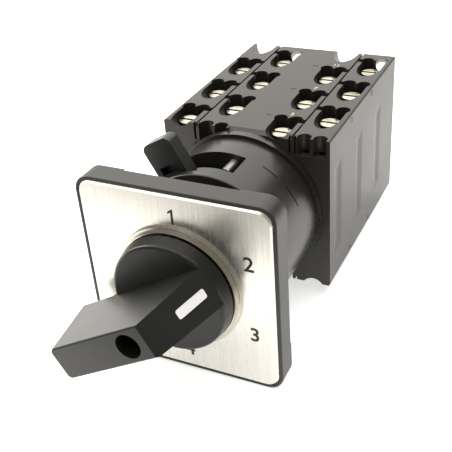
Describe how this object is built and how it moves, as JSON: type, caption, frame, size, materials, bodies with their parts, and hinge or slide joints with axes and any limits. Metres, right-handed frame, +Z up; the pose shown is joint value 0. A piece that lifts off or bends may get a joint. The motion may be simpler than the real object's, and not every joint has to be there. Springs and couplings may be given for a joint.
{
  "type": "rotary cam switch",
  "caption": "Panel-mounted rotary cam switch: square dial plate, lever handle, round adapter with a locking lever and a block of stacked contact chambers with screw terminals.",
  "frame": {"origin": "on the shaft axis, in the plane of the panel's front face, where the back of the front frame meets the neck", "axes": "+Y runs back along the shaft into the panel, +Z is up, +X is to the right seen from the front"},
  "size_m": [0.048, 0.1165, 0.05],
  "materials": {
    "frame_plastic": "satin dark grey moulded",
    "legend_metal": "fine vertical brushed, clear lacquer",
    "ring_metal": "turned, bright",
    "seal_rubber": "matte",
    "adapter_plastic": "satin black moulded",
    "handle_plastic": "satin black moulded",
    "indicator_white": "white inlay",
    "screw_steel": "zinc plated",
    "spring_steel": "spring steel",
    "index_plastic": "natural, smooth",
    "plunger_plastic": "smooth",
    "block_plastic": "satin black moulded thermoset",
    "contact_brass": "bright",
    "terminal_nickel": "nickel plated"
  },
  "bodies": {
    "housing": {"front_frame": "frame_plastic", "legend_plate": "legend_metal", "collar_ring": "ring_metal", "front_seal": "seal_rubber", "front_neck": "adapter_plastic", "adapter_housing": "adapter_plastic", "adapter_base": "adapter_plastic", "clamp_screws": "screw_steel", "index_springs": "spring_steel", "front_plate": "block_plastic", "chamber_1": "block_plastic", "chamber_2": "block_plastic", "chamber_3": "block_plastic", "chamber_4": "block_plastic", "chamber_5": "block_plastic", "chamber_6": "block_plastic", "end_plate": "block_plastic", "tie_screws": "screw_steel", "fixed_contacts": "contact_brass", "terminal_clamps": "terminal_nickel", "terminal_screws": "terminal_nickel", "contact_springs": "spring_steel"},
    "rotor": {"handle": "handle_plastic", "handle_screw": "screw_steel", "indicator_insert": "indicator_white", "drive_shaft": "screw_steel", "star_wheel": "index_plastic", "stop_disc": "index_plastic", "cam_1": "index_plastic", "cam_2": "index_plastic", "cam_3": "index_plastic", "cam_4": "index_plastic", "cam_5": "index_plastic", "cam_6": "index_plastic"},
    "release_lever": {"locking_lever": "adapter_plastic"},
    "contact_1_right": {"plunger_1_right": "plunger_plastic", "bridge_1_right": "contact_brass"},
    "contact_1_left": {"plunger_1_left": "plunger_plastic", "bridge_1_left": "contact_brass"},
    "contact_2_right": {"plunger_2_right": "plunger_plastic", "bridge_2_right": "contact_brass"},
    "contact_2_left": {"plunger_2_left": "plunger_plastic", "bridge_2_left": "contact_brass"},
    "contact_3_right": {"plunger_3_right": "plunger_plastic", "bridge_3_right": "contact_brass"},
    "contact_3_left": {"plunger_3_left": "plunger_plastic", "bridge_3_left": "contact_brass"},
    "contact_4_right": {"plunger_4_right": "plunger_plastic", "bridge_4_right": "contact_brass"},
    "contact_4_left": {"plunger_4_left": "plunger_plastic", "bridge_4_left": "contact_brass"},
    "contact_5_right": {"plunger_5_right": "plunger_plastic", "bridge_5_right": "contact_brass"},
    "contact_5_left": {"plunger_5_left": "plunger_plastic", "bridge_5_left": "contact_brass"},
    "contact_6_right": {"plunger_6_right": "plunger_plastic", "bridge_6_right": "contact_brass"},
    "contact_6_left": {"plunger_6_left": "plunger_plastic", "bridge_6_left": "contact_brass"}
  },
  "joints": [
    {"name": "handle_turn", "type": "hinge", "parent": "housing", "child": "rotor", "pos_m": [0, 0, 0], "axis": [0, 1, 0], "range_deg": [-60, 120], "deforming": ["index_springs", "contact_springs"]},
    {"name": "release_turn", "type": "hinge", "parent": "housing", "child": "release_lever", "pos_m": [0, 0.0142, 0], "axis": [0, 1, 0], "range_deg": [0, 31]},
    {"name": "contact_slide_1_right", "type": "slide", "parent": "housing", "child": "contact_1_right", "axis": [1, 0, 0], "range_m": [-0.00067, 0.00134]},
    {"name": "contact_slide_1_left", "type": "slide", "parent": "housing", "child": "contact_1_left", "axis": [1, 0, 0], "range_m": [-0.00067, 0.00134]},
    {"name": "contact_slide_2_right", "type": "slide", "parent": "housing", "child": "contact_2_right", "axis": [1, 0, 0], "range_m": [-0.00134, 0.00067]},
    {"name": "contact_slide_2_left", "type": "slide", "parent": "housing", "child": "contact_2_left", "axis": [1, 0, 0], "range_m": [-0.00134, 0.00067]},
    {"name": "contact_slide_3_right", "type": "slide", "parent": "housing", "child": "contact_3_right", "axis": [1, 0, 0], "range_m": [-0.00067, 0.00134]},
    {"name": "contact_slide_3_left", "type": "slide", "parent": "housing", "child": "contact_3_left", "axis": [1, 0, 0], "range_m": [-0.00067, 0.00134]},
    {"name": "contact_slide_4_right", "type": "slide", "parent": "housing", "child": "contact_4_right", "axis": [1, 0, 0], "range_m": [-0.00134, 0.00067]},
    {"name": "contact_slide_4_left", "type": "slide", "parent": "housing", "child": "contact_4_left", "axis": [1, 0, 0], "range_m": [-0.00134, 0.00067]},
    {"name": "contact_slide_5_right", "type": "slide", "parent": "housing", "child": "contact_5_right", "axis": [1, 0, 0], "range_m": [-0.00067, 0.00134]},
    {"name": "contact_slide_5_left", "type": "slide", "parent": "housing", "child": "contact_5_left", "axis": [1, 0, 0], "range_m": [-0.00067, 0.00134]},
    {"name": "contact_slide_6_right", "type": "slide", "parent": "housing", "child": "contact_6_right", "axis": [1, 0, 0], "range_m": [-0.00134, 0.00067]},
    {"name": "contact_slide_6_left", "type": "slide", "parent": "housing", "child": "contact_6_left", "axis": [1, 0, 0], "range_m": [-0.00134, 0.00067]}
  ],
  "couplings": [
    {"joint": "contact_slide_1_right", "follows": "handle_turn", "m_per_rad": 0.00063662},
    {"joint": "contact_slide_1_left", "follows": "handle_turn", "m_per_rad": 0.00063662},
    {"joint": "contact_slide_2_right", "follows": "handle_turn", "m_per_rad": -0.00063662},
    {"joint": "contact_slide_2_left", "follows": "handle_turn", "m_per_rad": -0.00063662},
    {"joint": "contact_slide_3_right", "follows": "handle_turn", "m_per_rad": 0.00063662},
    {"joint": "contact_slide_3_left", "follows": "handle_turn", "m_per_rad": 0.00063662},
    {"joint": "contact_slide_4_right", "follows": "handle_turn", "m_per_rad": -0.00063662},
    {"joint": "contact_slide_4_left", "follows": "handle_turn", "m_per_rad": -0.00063662},
    {"joint": "contact_slide_5_right", "follows": "handle_turn", "m_per_rad": 0.00063662},
    {"joint": "contact_slide_5_left", "follows": "handle_turn", "m_per_rad": 0.00063662},
    {"joint": "contact_slide_6_right", "follows": "handle_turn", "m_per_rad": -0.00063662},
    {"joint": "contact_slide_6_left", "follows": "handle_turn", "m_per_rad": -0.00063662}
  ]
}
